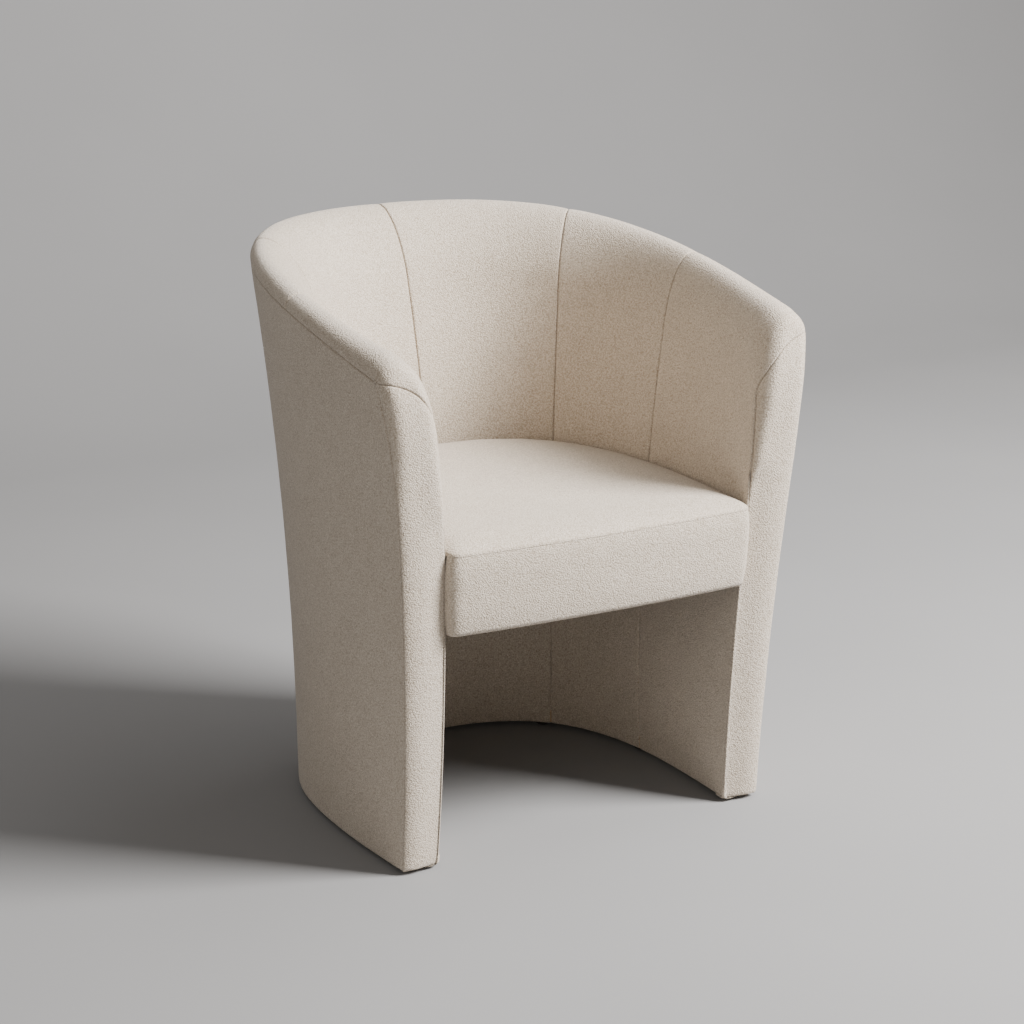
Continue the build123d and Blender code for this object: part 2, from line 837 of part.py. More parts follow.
THIRD = 1 / 3
SEAM = GAP / 2 / half_outline.length
INNER_PANELS = {
    "inner_panel_left_front": (-BEYOND_FRONT, -2 * THIRD - SEAM),
    "inner_panel_left_middle": (-2 * THIRD + SEAM, -THIRD - SEAM),
    "inner_panel_left_back": (-THIRD + SEAM, -SEAM),
    "inner_panel_right_back": (SEAM, THIRD - SEAM),
    "inner_panel_right_middle": (THIRD + SEAM, 2 * THIRD - SEAM),
    "inner_panel_right_front": (2 * THIRD + SEAM, BEYOND_FRONT),
}
OUTER_PANELS = {
    "outer_panel_left": (-BEYOND_FRONT, -THIRD - SEAM),
    "outer_panel_back": (-THIRD + SEAM, THIRD - SEAM),
    "outer_panel_right": (THIRD + SEAM, BEYOND_FRONT),
}
UPRIGHTS = {
    "upright_left_front": -0.75,
    "upright_left_middle": -0.5,
    "upright_left_rear": -0.25,
    "upright_back": 0.0,
    "upright_right_rear": 0.25,
    "upright_right_middle": 0.5,
    "upright_right_front": 0.75,
}

nodes = {
    "base_plate": make_base_plate(),
    "mid_rail": make_mid_rail(),
    "top_rail": make_top_rail(),
    "outer_board": make_board(BOARD_DEPTH),
    "inner_board": make_inner_board(),
    "outer_wadding": make_outer_wadding(),
    "shell_foam": make_shell_foam(),
    "base_lining": make_base_lining(),
    "seat_front_rail": make_seat_front_rail(),
    "seat_rear_rail": make_seat_rear_rail(),
    "seat_corner_blocks": make_corner_blocks(),
    "seat_springs": make_springs(),
    "spring_clips": make_spring_clips(),
    "spring_tie_wire": make_tie_wire(),
    "seat_felt": make_seat_felt(),
    "seat_foam": make_seat_foam(),
    "seat_front_pad": make_seat_front_pad(),
    "seat_top_cover": make_seat_top_cover(),
    "seat_front_band": make_seat_front_band(),
    "seat_border": make_seat_border(),
    "seat_dust_cover": make_seat_dust_cover(),
    "seat_bolts": make_bolts(),
    "seat_bolt_washers": make_washers(),
    "tee_nuts": make_tee_nuts(),
    "glides": make_glides(),
    "glide_nails": make_glide_nails(),
}
for name, station in UPRIGHTS.items():
    nodes[name] = make_upright(station)
for name, side in SIDES.items():
    nodes[name + "_front_post"] = make_front_post(side)
    nodes[name + "_facing_pad"] = make_facing_pad(side)
    nodes[name + "_facing_cover"] = make_facing_cover(side)
    nodes["seat_" + name + "_rail"] = make_seat_side_rail(side)
for name, (first, last) in INNER_PANELS.items():
    nodes[name] = make_inner_panel(first, last)
for name, (first, last) in OUTER_PANELS.items():
    nodes[name] = make_outer_panel(first, last)

os.makedirs("parts", exist_ok=True)
for name, shape in nodes.items():
    export_step(Pos(0, ORIGIN_SHIFT_Y, 0) * shape, "parts/" + name + ".step")
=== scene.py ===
import json
import math
import bmesh
import bpy
import numpy as np
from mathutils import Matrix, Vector
from mathutils.noise import noise


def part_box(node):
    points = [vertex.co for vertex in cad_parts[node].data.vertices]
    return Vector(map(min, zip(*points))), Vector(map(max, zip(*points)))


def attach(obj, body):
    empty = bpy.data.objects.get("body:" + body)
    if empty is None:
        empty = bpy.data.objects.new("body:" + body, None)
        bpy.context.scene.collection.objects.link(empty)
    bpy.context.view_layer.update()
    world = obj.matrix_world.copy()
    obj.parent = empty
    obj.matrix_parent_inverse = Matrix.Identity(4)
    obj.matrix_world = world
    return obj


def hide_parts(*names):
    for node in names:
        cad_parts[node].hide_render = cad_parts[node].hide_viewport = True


# Upholstered tub armchair, in metres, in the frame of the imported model: +Z is up and
# the sitter faces -Y. A station is a signed fraction along half of the outline that
# the wall's outer face makes on the floor: 0 is the middle of the back, -1 the left
# arm front, +1 the right arm front. An offset is measured outward from that outline.

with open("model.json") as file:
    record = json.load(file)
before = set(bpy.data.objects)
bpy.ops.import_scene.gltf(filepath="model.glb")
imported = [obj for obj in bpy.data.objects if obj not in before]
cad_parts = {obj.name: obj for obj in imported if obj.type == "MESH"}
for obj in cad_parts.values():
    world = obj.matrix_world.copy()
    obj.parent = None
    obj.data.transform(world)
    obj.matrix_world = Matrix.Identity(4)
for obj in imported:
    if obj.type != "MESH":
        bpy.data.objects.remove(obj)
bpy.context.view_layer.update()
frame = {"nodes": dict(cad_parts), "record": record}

# plan outlines of one half of the wall, as Bezier curves, before the shift in Y
OUTER_FLOOR = [(0, 0), (0.238, 0), (0.303, -0.090), (0.270, -0.466)]
OUTER_TOP = [(0, 0.115), (0.294, 0.115), (0.337, -0.160), (0.313, -0.520)]
INNER_FLOOR = [(0, -0.046), (0.251, -0.046), (0.221, -0.300), (0.217, -0.466)]
INNER_TOP = [(0, 0.036), (0.241, 0.036), (0.315, -0.292), (0.233, -0.520)]
TOP_OUTLINE_HEIGHT = 0.700
INNER_BOW = 1.731
SHIFT_Y = 0.198

# the top roll; measures that grow toward the arm fronts are given as their value at
# the back, what the arm front adds, and the power of the station they grow with
BACK_SEAM = 0.728
BACK_SEAM_Y = 0.112
ARM_SEAM_DROP = 0.084
SEAM_RUN = 0.600
SEAM_STRAIGHTNESS = 0.38
ROLL_START_DROP = 0.068
ROLL_SIZE = 0.088
TIGHT_PULL = 0.55
CREST_RISE = (0.020, 0.008, 8)
CREST_INSET = (0.017, 0.009, 3)
BROAD_PULL = (0.45, 0.17, 3)
INNER_PULL = (0.4, 0.12, 3)

# side profile of the arm fronts
FRONT_LEAN = 0.037
FRONT_LEAN_HEIGHT = 0.470
FRONT_BULGE = 0.008
FRONT_BULGE_HEIGHT = 0.580
FRONT_RETURN = 0.031
FRONT_TOP = 0.690

# rounded ends of the arms
END_BULGE_LOW = 0.005
END_BULGE_HIGH = 0.021
BULGE_FROM, BULGE_TO = 0.48, 0.64
END_ROUNDING = 0.018
ROLL_SETBACK = 0.011
SETBACK_FADE_START, SETBACK_FADE = 0.06, 0.10
CRISP_ROUNDING = 0.002
CRISP_SHARE = 0.5
INNER_EDGE_EASE = 0.040
CORNER_WRAP = 0.0005
END_EASE = 0.034
TOP_EASE_LOSS = 0.6
TOP_EASE_START, TOP_EASE_FADE = 0.88, 0.12

# the facing's seam: how its curve leaves the straight stretch and reaches the top
SEAM_FROM_JOIN = (0.004, 0.027)
SEAM_FROM_TOP = (-0.046, 0.001)
FACING_WIDTH = 0.062
FACING_TOP = 0.9992

# covers and seams
CLOTH = 0.0013
HEM_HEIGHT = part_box("outer_panel_back")[0][2]
HEM_TURN = 0.014
HEM_RADIUS = 0.003
HEM_ANGLES = (60, 30)
HEM_COUNT = 3
SEAM_DEPTH = 0.0021
SEAM_WIDTH = 0.0010
PILLOW = 0.0010
PILLOW_WIDTH = 0.010
PUCKER = 0.00030
PUCKER_LENGTH = 0.011
PUCKER_REACH = 0.010
SLOW_WAVE = 0.0004
SLOW_WAVE_SCALE = 22
GRID = 0.0055

# seat
SEAT_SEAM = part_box("seat_front_band")[1][2]
SEAT_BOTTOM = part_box("seat_front_band")[0][2]
SEAT_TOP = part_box("seat_top_cover")[1][2]
SEAT_FRONT = 0.511
SEAT_FRONT_BOW = 0.008
SEAT_FRONT_LEAN = 0.08
SEAT_HALF_WIDTH = 0.217
SEAT_CLEARANCE = 0.001
SEAT_CROWN_REACH = 0.070
SEAT_WAVE = 0.0007
SEAT_WAVE_SCALE = 26
SEAT_WAVE_START = 0.03
SEAT_EDGE_TURN = 0.01
BAND_BULGE = 0.004
BAND_EDGE_SHARE = 1.012

# padding
FOAM_SKIN = 0.0045
FOAM_BOTTOM = 0.0265
FOAM_DEPTH = 0.034
FOAM_LEDGE_DROP = 0.026
LEDGE_START = 0.005
WADDING_BACK = 0.0062
WADDING_BOTTOM = 0.010
PADDING_GAP = 0.002
PAD_FRONT, PAD_BACK = 0.004, 0.014
FLAT_INSET = 0.004

# camera and lights: place, size of the square panel, power and colour
AZIMUTH, ELEVATION, DISTANCE = math.radians(-29.60), math.radians(16.05), 3.4885
TARGET = (0.0183, SHIFT_Y - 0.2389, 0.3788)
LENS = 91.31
CHEST = (0, 0, 0.4)
LIGHTS = {
    "key": ((2.3, -2.1, 2.85), 1.5, 640, (1.0, 0.985, 0.965)),
    "top": ((1.4, 0.2, 3.2), 2.0, 32, (1.0, 1.0, 1.0)),
    "fill": ((-2.6, -2.2, 1.7), 2.0, 15, (1.0, 0.965, 0.91)),
}
SKY_COLOR = (1.0, 0.955, 0.90, 1)
SKY_STRENGTH = 0.35
SWEEP_DEPTH, SWEEP_HALF_WIDTH, SWEEP_HEIGHT, SWEEP_RADIUS = 3.2, 7.0, 4.5, 1.4
SWEEP_START = -6.0
SWEEP_STEPS = 12


# ------------------------------------------------------------- shape of the wall


def bezier(corners, t):
    """Points of a cubic Bezier curve, which runs on straight past its far end."""
    p = np.array(corners, float)
    t = np.asarray(t, float)[..., None]
    s = np.minimum(t, 1)
    curve = (1 - s) ** 3 * p[0] + 3 * s * (1 - s) ** 2 * p[1]
    curve = curve + 3 * s**2 * (1 - s) * p[2] + s**3 * p[3]
    return curve + np.maximum(t - 1, 0) * 3 * (p[3] - p[2])


class Wall:
    """Tables of the wall's plan, read by station, with left and right mirrored."""

    def __init__(self):
        t = np.linspace(0, 1, 3001)
        curve = bezier(OUTER_FLOOR, t)
        run = np.r_[0, np.cumsum(np.hypot(*np.diff(curve, axis=0).T))]
        self.length = run[-1]
        self.stations = np.linspace(0, 1.2, 601)
        along = np.interp(self.stations * self.length, run, t)
        ahead = bezier(OUTER_FLOOR, np.clip(along + 1e-4, 0, 1))
        behind = bezier(OUTER_FLOOR, np.clip(along - 1e-4, 0, 1))
        self.tangent = ahead - behind
        self.tangent /= np.linalg.norm(self.tangent, axis=1)[:, None]
        past = np.maximum(self.stations - 1, 0)[:, None] * self.length
        self.point = bezier(OUTER_FLOOR, along) + self.tangent * past
        self.normal = np.stack([-self.tangent[:, 1], self.tangent[:, 0]], 1)
        self.outer_top = self.crossing(OUTER_TOP)
        self.inner_floor = self.crossing(INNER_FLOOR)
        self.inner_top = self.crossing(INNER_TOP)
        y = self.point[:, 1] + self.normal[:, 1] * self.outer_top
        fall = (BACK_SEAM_Y - y) / SEAM_RUN
        fall = SEAM_STRAIGHTNESS * fall + (1 - SEAM_STRAIGHTNESS) * fall**2
        self.seam = BACK_SEAM - ARM_SEAM_DROP * fall

    def crossing(self, outline):
        """Offsets at which a plan outline crosses the line square to the floor outline."""
        t = np.linspace(0, 2, 4001)
        curve = bezier(outline, t)
        offsets = []
        for point, tangent, normal in zip(self.point, self.tangent, self.normal):
            ahead = (curve - point) @ tangent
            first = max(int(np.argmax(ahead > 0)), 1)
            where = np.interp(0, ahead[first - 1 : first + 1], t[first - 1 : first + 1])
            offsets.append((bezier(outline, where) - point) @ normal)
        return np.array(offsets)

    def read(self, table, station):
        return np.interp(np.abs(station), self.stations, table)

    def place(self, station, offset, z):
        """Points in space from station, offset and height."""
        side = np.where(np.asarray(station) < 0, -1.0, 1.0)
        x = self.read(self.point[:, 0], station) + self.read(self.normal[:, 0], station) * offset
        y = self.read(self.point[:, 1], station) + self.read(self.normal[:, 1], station) * offset
        return np.stack([side * x, y + SHIFT_Y, z + 0 * x], -1)

    def outer(self, station, z):
        return self.read(self.outer_top, station) * (z / TOP_OUTLINE_HEIGHT) ** 2

    def inner(self, station, z):
        floor = self.read(self.inner_floor, station)
        top = self.read(self.inner_top, station)
        height = z / TOP_OUTLINE_HEIGHT
        return floor + (top - floor) * (height + INNER_BOW * height * (height - 1))


wall = Wall()


def bezier_parts(p0, p1, p2, p3, t):
    return (1 - t) ** 3 * p0 + 3 * t * (1 - t) ** 2 * p1 + 3 * t**2 * (1 - t) * p2 + t**3 * p3


def toward_arm(station, growth):
    at_back, added, power = growth
    return at_back + added * np.abs(station) ** power


def roll(station, skin):
    """Control values (offset, height) of the roll's two curves, skin deep."""
    seam = wall.read(wall.seam, station)
    rise = toward_arm(station, CREST_RISE)
    crest = seam + rise
    start = seam - ROLL_START_DROP
    tiny = 0.001
    out_lean = (wall.outer(station, seam + tiny) - wall.outer(station, seam - tiny)) / (2 * tiny)
    in_lean = (wall.inner(station, start + tiny) - wall.inner(station, start - tiny)) / (2 * tiny)
    outer_x = wall.outer(station, seam) - skin
    inset = toward_arm(station, CREST_INSET)
    crest_x = wall.outer(station, seam) - inset
    inner_x = wall.inner(station, start) + skin
    up = TIGHT_PULL * rise
    inner_pull = toward_arm(station, INNER_PULL) * ROLL_SIZE
    tight = [
        (outer_x, seam),
        (outer_x + out_lean * up, seam + up),
        (crest_x + TIGHT_PULL * inset, crest - skin),
        (crest_x, crest - skin),
    ]
    broad = [
        (crest_x, crest - skin),
        (crest_x - toward_arm(station, BROAD_PULL) * (crest_x - inner_x), crest - skin),
        (inner_x + in_lean * inner_pull, start + inner_pull),
        (inner_x, start),
    ]
    return tight, broad


FACE_SHARE = 0.76
BROAD_SHARE = 0.16


def inner_point(station, v, skin=0.0, bottom=HEM_HEIGHT):
    """Inner cover: v runs up the inner face, over the roll and down to the seam."""
    tight, broad = roll(station, skin)
    start = wall.read(wall.seam, station) - ROLL_START_DROP
    face_z = bottom + (start - bottom) * np.clip(v / FACE_SHARE, 0, 1)
    face_x = wall.inner(station, face_z) + skin
    b = 1 - np.clip((v - FACE_SHARE) / BROAD_SHARE, 0, 1)
    t = 1 - np.clip((v - FACE_SHARE - BROAD_SHARE) / (1 - FACE_SHARE - BROAD_SHARE), 0, 1)
    broad_x, broad_z = (bezier_parts(*(p[k] for p in broad), b) for k in (0, 1))
    tight_x, tight_z = (bezier_parts(*(p[k] for p in tight), t) for k in (0, 1))
    on_face = v <= FACE_SHARE
    on_broad = v <= FACE_SHARE + BROAD_SHARE
    x = np.where(on_face, face_x, np.where(on_broad, broad_x, tight_x))
    z = np.where(on_face, face_z, np.where(on_broad, broad_z, tight_z))
    return wall.place(station, x, z)


def outer_point(station, v, skin=0.0, bottom=HEM_HEIGHT):
    seam = wall.read(wall.seam, station)
    z = bottom + (seam - bottom) * v
    return wall.place(station, wall.outer(station, z) - skin, z)


def front_y(z):
    """Where the arm fronts' surface lies at a height."""
    knee = SHIFT_Y + OUTER_FLOOR[-1][1] - FRONT_LEAN
    straight = knee + FRONT_LEAN * (FRONT_LEAN_HEIGHT - z) / FRONT_LEAN_HEIGHT
    t = np.linspace(0, 1.3, 200)
    first, middle, last = (1 - t) ** 2, 2 * t * (1 - t), t**2
    heights = first * FRONT_LEAN_HEIGHT + middle * FRONT_BULGE_HEIGHT + last * FRONT_TOP
    bend = first * knee + middle * (knee - FRONT_BULGE) + last * (knee + FRONT_RETURN)
    return np.where(z < FRONT_LEAN_HEIGHT, straight, np.interp(z, heights, bend))


def front_station(point_at, v, setback=0.0):
    """Station at which a face of the wall meets the arm fronts' surface, or stops short."""
    station = np.ones_like(v)
    for _ in range(12):
        p = point_at(station, v)
        station = station + (p[..., 1] - front_y(p[..., 2]) - setback) / wall.length
    return station


# --------------------------------------------------------------- mesh building


def spacing(points, axis):
    return np.linalg.norm(np.diff(points, axis=axis), axis=-1)


def grid_distance(points, axis, at_end):
    """Distance along one grid direction from its first or last line."""
    pad = [(0, 0), (0, 0)]
    pad[axis] = (1, 0)
    run = np.cumsum(np.pad(spacing(points, axis), pad), axis=axis)
    if at_end:
        return run.take([-1], axis=axis) - run
    return run


def unit(vectors):
    return vectors / np.maximum(np.linalg.norm(vectors, axis=-1, keepdims=True), 1e-12)


def grid_normals(points):
    return unit(np.cross(np.gradient(points, axis=0), np.gradient(points, axis=1)))


def surface_normals(point_at, station, v, inward):
    """Normals of a wall face, from its own shape rather than from a grid on it."""
    tiny = 0.0005
    along = point_at(station + tiny, v) - point_at(station - tiny, v)
    up = point_at(station, np.minimum(v + tiny, 1)) - point_at(station, np.maximum(v - tiny, 0))
    normal = unit(np.cross(up, along))
    return -normal if inward else normal


NEAR_SEAM = np.array([0, 0.35, 0.7, 1.1, 1.6, 2.3, 3.2, 4.6, 6.6, 9.5, 13.5]) / 1000


def seam_steps(length, first, last):
    """Shares of a length, closely spaced beside a seam and even elsewhere."""
    low = NEAR_SEAM if first else NEAR_SEAM[:1]
    high = NEAR_SEAM if last else NEAR_SEAM[:1]
    count = max(2, round((length - low[-1] - high[-1]) / GRID))
    middle = np.linspace(low[-1], length - high[-1], count + 1)[1:-1]
    return np.r_[low, middle, (length - high)[::-1]] / length


def blended(coarse, shape):
    """Values of a coarse grid, read smoothly on a finer grid."""
    v = np.linspace(0, coarse.shape[1] - 1, shape[1])
    u = np.linspace(0, coarse.shape[0] - 1, shape[0])
    rows = np.array([np.interp(v, np.arange(coarse.shape[1]), row) for row in coarse])
    return np.array([np.interp(u, np.arange(coarse.shape[0]), c) for c in rows.T]).T


def sewn(points, normals, seams, seed):
    """Lets the cover down into its seams: a groove, a soft pillow and small puckers."""
    drop = np.zeros(points.shape[:2])
    pucker = np.zeros(points.shape[:2])
    for axis, at_end in seams:
        far = grid_distance(points, axis, at_end)
        groove = SEAM_DEPTH * np.exp(-((far / SEAM_WIDTH) ** 2))
        drop = np.maximum(drop, groove + PILLOW * np.exp(-far / PILLOW_WIDTH))
        line = grid_distance(points, 1 - axis, False).mean(axis=axis)
        wave = np.array([noise(Vector((d / PUCKER_LENGTH, seed, 0))) for d in line])
        wave = wave[None, :] if axis == 0 else wave[:, None]
        fade = np.exp(-far / PUCKER_REACH) * (1 - np.exp(-((far / SEAM_WIDTH) ** 2)))
        pucker += PUCKER * wave * fade
    start = Vector((seed, 0, 0))
    slow = [[noise(Vector(p * SLOW_WAVE_SCALE) + start) for p in row] for row in points[::4, ::4]]
    inside = 1 - np.exp(-((drop.max() - drop) / SEAM_DEPTH) ** 2)
    drop = drop + pucker + SLOW_WAVE * blended(np.array(slow), drop.shape) * inside
    return points - normals * drop[..., None]


def new_object(name, vertices, faces, material):
    mesh = bpy.data.meshes.new(name)
    mesh.from_pydata([tuple(v) for v in vertices], [], faces)
    mesh.validate()
    mesh.polygons.foreach_set("use_smooth", [True] * len(mesh.polygons))
    mesh.materials.append(material)
    obj = bpy.data.objects.new(name, mesh)
    bpy.context.scene.collection.objects.link(obj)
    return obj


def grid_faces(ids):
    """Four-cornered faces between the neighbours in a grid of vertex numbers."""
    corners = (ids[:-1, :-1], ids[1:, :-1], ids[1:, 1:], ids[:-1, 1:])
    return np.stack(corners, -1).reshape(-1, 4)


def cloth_panel(name, face, back, material):
    """Closed thin solid between a grid of points and the grid behind it."""
    nu, nv = face.shape[:2]
    ids = np.arange(nu * nv).reshape(nu, nv)
    ring = np.r_[ids[:, 0], ids[-1, 1:], ids[-2::-1, -1], ids[0, -2:0:-1]]
    after = np.roll(ring, -1)
    rim = np.stack([after, ring, ring + nu * nv, after + nu * nv], -1)
    faces = np.concatenate([grid_faces(ids), grid_faces(ids + nu * nv)[:, ::-1], rim])
    outward = ((face - back) * grid_normals(face)).sum() > 0
    if not outward:
        faces = faces[:, ::-1]
    vertices = np.concatenate([face.reshape(-1, 3), back.reshape(-1, 3)])
    return new_object(name, vertices, faces.tolist(), material)


def closed_tube(name, loops, material):
    """Solid through a row of closed loops, with flat ends."""
    count, around = loops.shape[:2]
    ids = np.arange(count * around).reshape(count, around)
    faces = grid_faces(np.concatenate([ids, ids[:, :1]], 1)).tolist()
    faces += [ids[0].tolist(), ids[-1, ::-1].tolist()]
    obj = new_object(name, loops.reshape(-1, 3), faces, material)
    mesh = bmesh.new()
    mesh.from_mesh(obj.data)
    bmesh.ops.recalc_face_normals(mesh, faces=mesh.faces)
    mesh.to_mesh(obj.data)
    mesh.free()
    return obj


def stands_for(piece, node):
    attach(piece, "root")
    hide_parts(node)
    return piece


def declare_cover(piece, node):
    """Attaches a cover to the root body and hides the CAD node that it stands for."""
    stands_for(piece, node)


# ------------------------------------------------------------------- materials


class Nodes:
    """Small helper that adds and links shader nodes."""

    def __init__(self, name):
        self.material = bpy.data.materials.new(name)
        self.material.use_nodes = True
        self.tree = self.material.node_tree
        self.shader = self.tree.nodes["Principled BSDF"]
        self.place = self.add("ShaderNodeTexCoord").outputs["Object"]

    def add(self, kind, **values):
        node = self.tree.nodes.new(kind)
        for key, value in values.items():
            setattr(node, key, value)
        return node

    def link(self, source, target):
        self.tree.links.new(source, target)

    def feed(self, value, socket):
        """Links an output to a socket, or sets a constant on it."""
        if hasattr(value, "default_value"):
            self.link(value, socket)
        else:
            socket.default_value = value

    def noise(self, scale, detail=4.0, roughness=0.6, source=None):
        node = self.add("ShaderNodeTexNoise")
        node.inputs["Scale"].default_value = scale
        node.inputs["Detail"].default_value = detail
        node.inputs["Roughness"].default_value = roughness
        self.link(source or self.place, node.inputs["Vector"])
        return node.outputs["Fac"]

    def voronoi(self, scale, source=None, randomness=1.0):
        node = self.add("ShaderNodeTexVoronoi")
        node.inputs["Scale"].default_value = scale
        node.inputs["Randomness"].default_value = randomness
        self.link(source or self.place, node.inputs["Vector"])
        return node

    def ramp(self, source, *stops):
        """Blend between two colours, each given with its position."""
        node = self.add("ShaderNodeValToRGB")
        for element, (position, color) in zip(node.color_ramp.elements, stops):
            element.position = position
            element.color = (*color, 1)
        self.link(source, node.inputs["Fac"])
        return node.outputs["Color"]

    def mix(self, kind, factor, a, b):
        node = self.add("ShaderNodeMix", data_type="RGBA", blend_type=kind)
        for socket, value in ((0, factor), (6, a), (7, b)):
            self.feed(value, node.inputs[socket])
        return node.outputs[2]

    def math(self, operation, a, b=0.0):
        node = self.add("ShaderNodeMath", operation=operation)
        for socket, value in zip(node.inputs, (a, b)):
            self.feed(value, socket)
        return node.outputs[0]

    def bump(self, height, distance, strength):
        node = self.add("ShaderNodeBump")
        node.inputs["Strength"].default_value = strength
        node.inputs["Distance"].default_value = distance
        self.link(height, node.inputs["Height"])
        return node.outputs["Normal"]

    def finish(self, color, roughness, normal):
        self.link(color, self.shader.inputs["Base Color"])
        self.feed(roughness, self.shader.inputs["Roughness"])
        self.link(normal, self.shader.inputs["Normal"])
        return self.material


def oatmeal_boucle():
    """Fine looped wool blend: pale yarn with darker flecks and painted shade between the loops,
    fuzzy and matte.
    """
    n = Nodes("oatmeal_boucle")
    warp = n.add("ShaderNodeVectorMath", operation="MULTIPLY_ADD")
    swirl = n.add("ShaderNodeTexNoise")
    swirl.inputs["Scale"].default_value = 210
    n.link(n.place, swirl.inputs["Vector"])
    n.link(swirl.outputs["Color"], warp.inputs[0])
    warp.inputs[1].default_value = (0.0022, 0.0022, 0.0022)
    n.link(n.place, warp.inputs[2])
    loops = n.voronoi(540, source=warp.outputs[0]).outputs["Distance"]
    yarn = n.voronoi(950, source=warp.outputs[0])
    fuzz = n.noise(1500, 3.0, 0.7)
    patch = n.noise(38, 4.0, 0.6)
    broad = n.noise(7, 2.0, 0.5)
    twist = n.noise(420, 3.0, 0.75)
    fleck = n.ramp(twist, (0.36, (0.40, 0.33, 0.255)), (0.62, (0.755, 0.675, 0.58)))
    tone = n.ramp(yarn.outputs["Color"], (0.1, (0.54, 0.465, 0.38)), (0.9, (0.79, 0.715, 0.62)))
    color = n.mix("MIX", 0.5, fleck, tone)
    # painted shade: the colour is darkened in the gaps between the loops, where the bump sinks
    painted_pit_shade = n.ramp(loops, (0.15, (1, 1, 1)), (0.75, (0.60, 0.56, 0.51)))
    color = n.mix("MULTIPLY", 0.8, color, painted_pit_shade)
    shade = n.ramp(patch, (0.3, (0.95, 0.945, 0.94)), (0.7, (1, 1, 1)))
    color = n.mix("MULTIPLY", 1.0, color, shade)
    wide = n.ramp(broad, (0.3, (0.97, 0.965, 0.96)), (0.7, (1, 1, 1)))
    color = n.mix("MULTIPLY", 1.0, color, wide)
    knots = n.math("MULTIPLY", loops, -1.0)
    height = n.math("ADD", knots, n.math("MULTIPLY", fuzz, 0.35))
    normal = n.bump(height, 0.0011, 0.8)
    n.shader.inputs["Sheen Weight"].default_value = 0.35
    n.shader.inputs["Sheen Roughness"].default_value = 0.45
    n.shader.inputs["Sheen Tint"].default_value = (1.0, 0.97, 0.93, 1)
    n.shader.inputs["Specular IOR Level"].default_value = 0.12
    rough = n.math("ADD", 0.84, n.math("MULTIPLY", fuzz, 0.14))
    return n.finish(color, rough, normal)


def plain_material(name, dark, light, scale, roughness, metallic=0.0, bump=0.0003):
    """Two-tone mottled finish with a fine relief."""
    n = Nodes(name)
    grain = n.noise(scale, 5.0, 0.65)
    color = n.ramp(grain, (0.32, dark), (0.68, light))
    n.shader.inputs["Metallic"].default_value = metallic
    rough = n.math("ADD", roughness - 0.08, n.math("MULTIPLY", grain, 0.16))
    return n.finish(color, rough, n.bump(grain, bump, 0.5))


def plywood():
    """Pale birch plies, stretched along the sheet, with a fine grain."""
    n = Nodes("plywood")
    stretch = n.add("ShaderNodeMapping")
    stretch.inputs["Scale"].default_value = (18, 18, 210)
    n.link(n.place, stretch.inputs["Vector"])
    veneer = n.noise(1.0, 5.0, 0.6, stretch.outputs["Vector"])
    fine = n.noise(340, 3.0, 0.6)
    color = n.ramp(veneer, (0.3, (0.42, 0.27, 0.14)), (0.7, (0.68, 0.50, 0.31)))
    color = n.mix("MULTIPLY", 0.25, color, n.ramp(fine, (0.3, (0.7, 0.7, 0.7)), (0.7, (1, 1, 1))))
    rough = n.math("ADD", 0.55, n.math("MULTIPLY", fine, 0.2))
    return n.finish(color, rough, n.bump(veneer, 0.0004, 0.4))


def black_cambric():
    """Thin non-woven dust cloth, with its pressed dots."""
    n = Nodes("black_cambric")
    dots = n.voronoi(900, randomness=0.1).outputs["Distance"]
    color = n.ramp(dots, (0.1, (0.012, 0.012, 0.013)), (0.6, (0.045, 0.045, 0.048)))
    rough = n.math("ADD", 0.8, n.math("MULTIPLY", n.noise(500), 0.15))
    return n.finish(color, rough, n.bump(dots, 0.0002, 0.6))


def studio_grey():
    """Matte grey paper of the floor and backdrop."""
    n = Nodes("studio_grey")
    soft = n.noise(1.4, 3.0, 0.5)
    color = n.ramp(soft, (0.3, (0.228, 0.226, 0.228)), (0.7, (0.242, 0.240, 0.242)))
    return n.finish(color, 0.9, n.bump(n.noise(160), 0.0002, 0.2))


boucle = oatmeal_boucle()
cambric = black_cambric()
foam = plain_material("cream_foam", (0.66, 0.60, 0.44), (0.80, 0.75, 0.60), 900, 0.9)
felt = plain_material("grey_wadding", (0.42, 0.42, 0.41), (0.74, 0.74, 0.72), 420, 0.93)
FRAME_MATERIALS = {
    "frame_wood": plywood(),
    "hardboard": plain_material("hardboard", (0.22, 0.13, 0.07), (0.36, 0.24, 0.14), 260, 0.7),
    "spring_steel": plain_material(
        "spring_steel", (0.24, 0.24, 0.25), (0.44, 0.44, 0.45), 180, 0.38, 1.0, 0.0001
    ),
    "zinc_steel": plain_material(
        "zinc_steel", (0.50, 0.51, 0.52), (0.74, 0.75, 0.76), 240, 0.34, 1.0, 0.0001
    ),
    "dark_plastic": plain_material(
        "dark_plastic", (0.018, 0.016, 0.014), (0.045, 0.040, 0.036), 320, 0.5, 0.0, 0.0001
    ),
    "pale_foam": foam,
    "grey_wadding": felt,
    "black_lining": cambric,
    "upholstery_fabric": boucle,
}


# ---------------------------------------------------------- rounded arm ends


def smooth(t):
    t = np.clip(t, 0, 1)
    return t * t * (3 - 2 * t)


def softening(v):
    """0 where the inner edge of the arm end is crisp, 1 where it is fully rounded."""
    return smooth((v - CRISP_SHARE) / (FACE_SHARE - CRISP_SHARE))


def roll_setback(v):
    """How far the inner cover's side turns in before the arm end, by its v."""
    fades = 1 - smooth((v - FACE_SHARE - SETBACK_FADE_START) / SETBACK_FADE)
    return ROLL_SETBACK * softening(v) * fades


